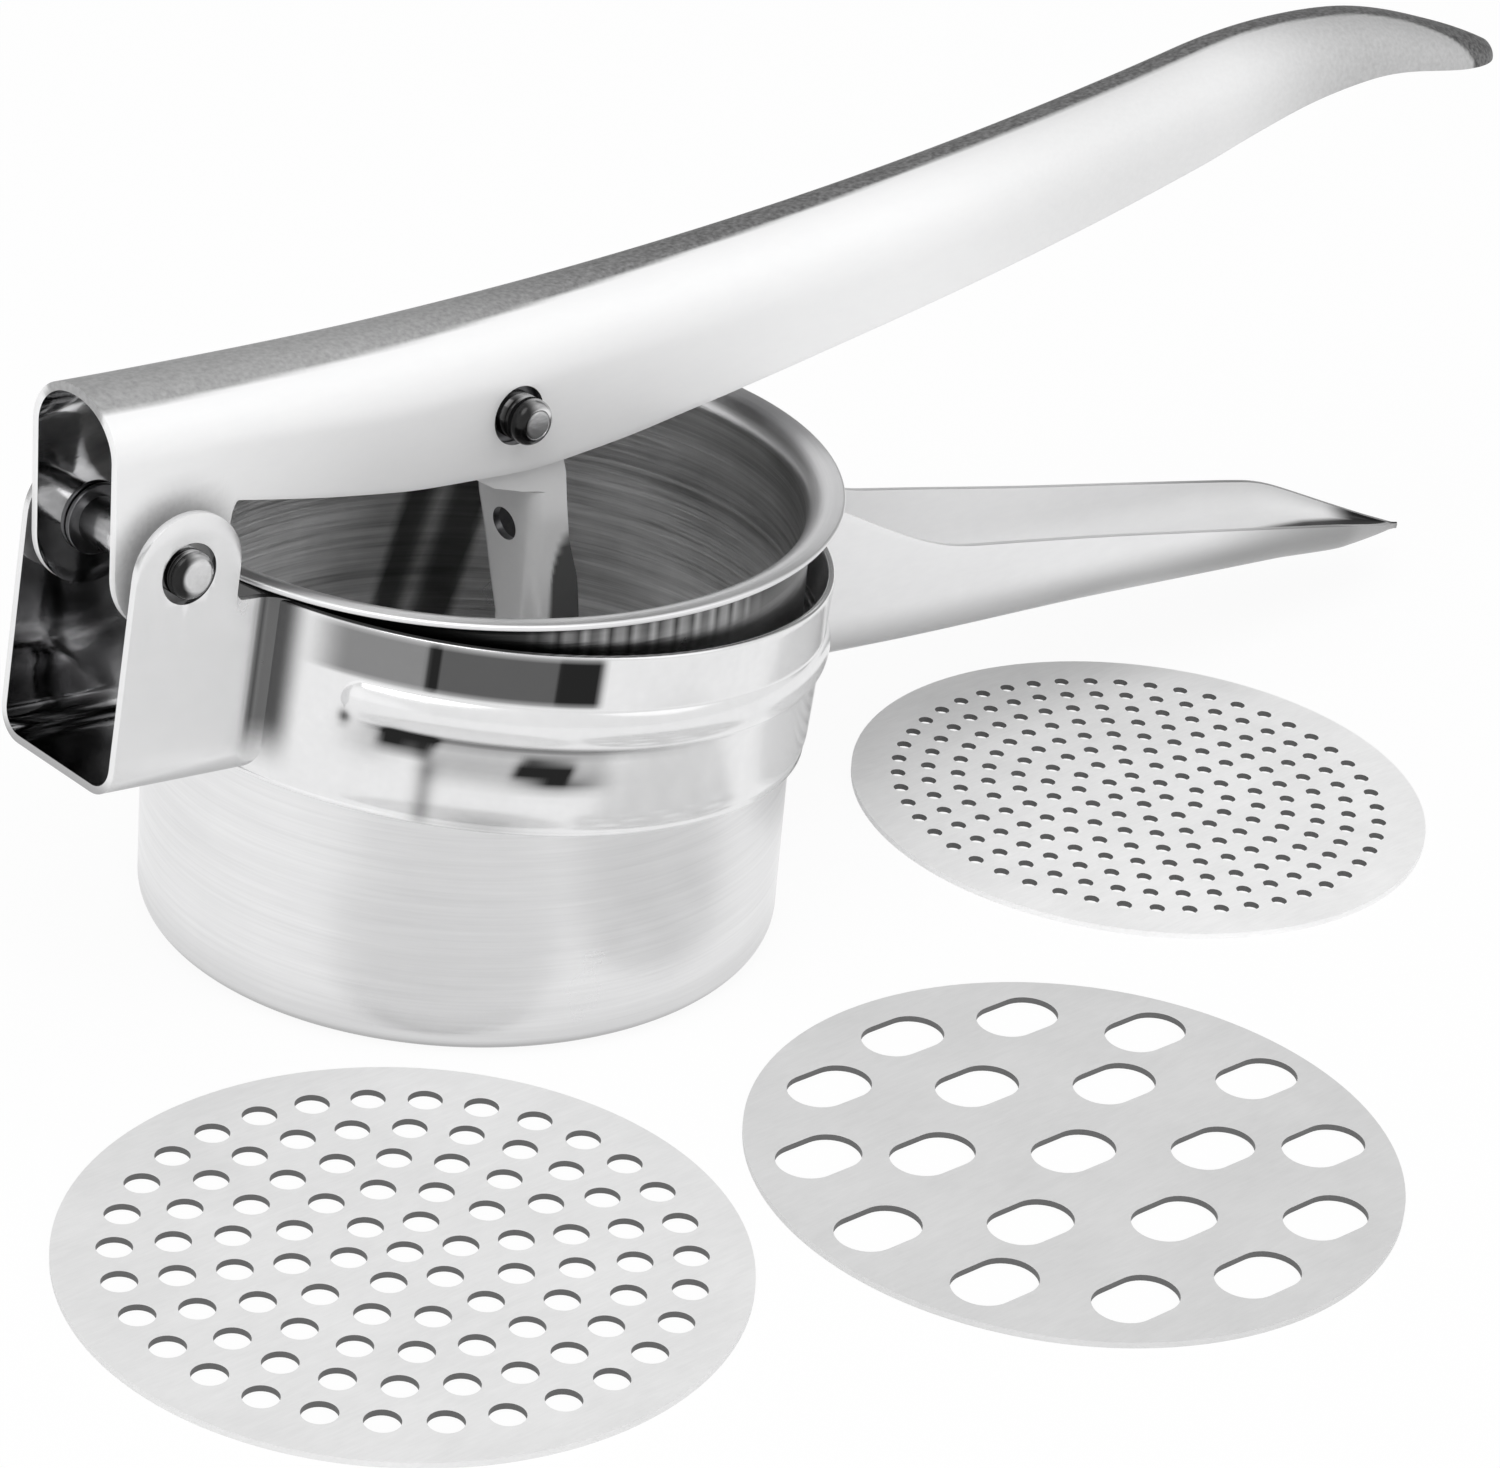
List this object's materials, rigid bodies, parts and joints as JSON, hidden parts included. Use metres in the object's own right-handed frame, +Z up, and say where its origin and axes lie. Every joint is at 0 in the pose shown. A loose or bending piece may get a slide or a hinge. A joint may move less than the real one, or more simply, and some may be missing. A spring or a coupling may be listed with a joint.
{
  "type": "potato ricer",
  "caption": "Stamped steel potato ricer: flared cup in a band with trough handle, arched lever driving a press plate, and three loose perforated discs.",
  "frame": {"origin": "centre of the cup's outlet, level with the surface the ricer stands on", "axes": "+Z up along the cup's axis, +X from the hinge towards the handle tips, +Y to the side away from the loose discs"},
  "size_m": [0.2942, 0.1804, 0.0967],
  "materials": {
    "polished_sheet": "polished stainless sheet, mirror-like with faint rub marks",
    "satin_sheet": "satin stainless sheet with fine turning and brushing marks",
    "pin_steel": "turned steel"
  },
  "bodies": {
    "frame": {"frame_band": "polished_sheet", "hinge_channel": "polished_sheet", "lower_handle": "polished_sheet", "hinge_pin": "pin_steel", "hinge_rings": "pin_steel"},
    "cup": {"cup": "satin_sheet", "cup_foot": "satin_sheet"},
    "lever": {"lever": "polished_sheet", "lever_grip": "polished_sheet", "plunger_pin": "pin_steel", "plunger_rings": "pin_steel"},
    "plunger": {"plunger_bracket": "polished_sheet", "press_plate": "satin_sheet"},
    "fine_disc": {"disc_fine": "satin_sheet"},
    "medium_disc": {"disc_medium": "satin_sheet"},
    "coarse_disc": {"disc_coarse": "satin_sheet"}
  },
  "joints": [
    {"name": "lever_hinge", "type": "hinge", "parent": "frame", "child": "lever", "pos_m": [-0.05435, 0, 0.06502], "axis": [0, -1, 0], "range_deg": [0, 58]},
    {"name": "plunger_swing", "type": "hinge", "parent": "lever", "child": "plunger", "pos_m": [-0.00195, 0, 0.07202], "axis": [0, -1, 0], "range_deg": [-37, 0]},
    {"name": "cup_turn", "type": "hinge", "parent": "frame", "child": "cup", "pos_m": [0, 0, 0], "axis": [0, 0, 1], "continuous": true},
    {"name": "fine_disc_slide", "type": "slide", "parent": "frame", "child": "fine_disc", "axis": [1, 0, 0], "range_m": [0, 0.04]},
    {"name": "medium_disc_lift", "type": "slide", "parent": "frame", "child": "medium_disc", "axis": [0, 0, 1], "range_m": [0, 0.025]},
    {"name": "coarse_disc_lift", "type": "slide", "parent": "frame", "child": "coarse_disc", "axis": [0, 0, 1], "range_m": [0, 0.025]}
  ],
  "couplings": [
    {"joint": "plunger_swing", "follows": "lever_hinge", "ratio": -0.62}
  ]
}
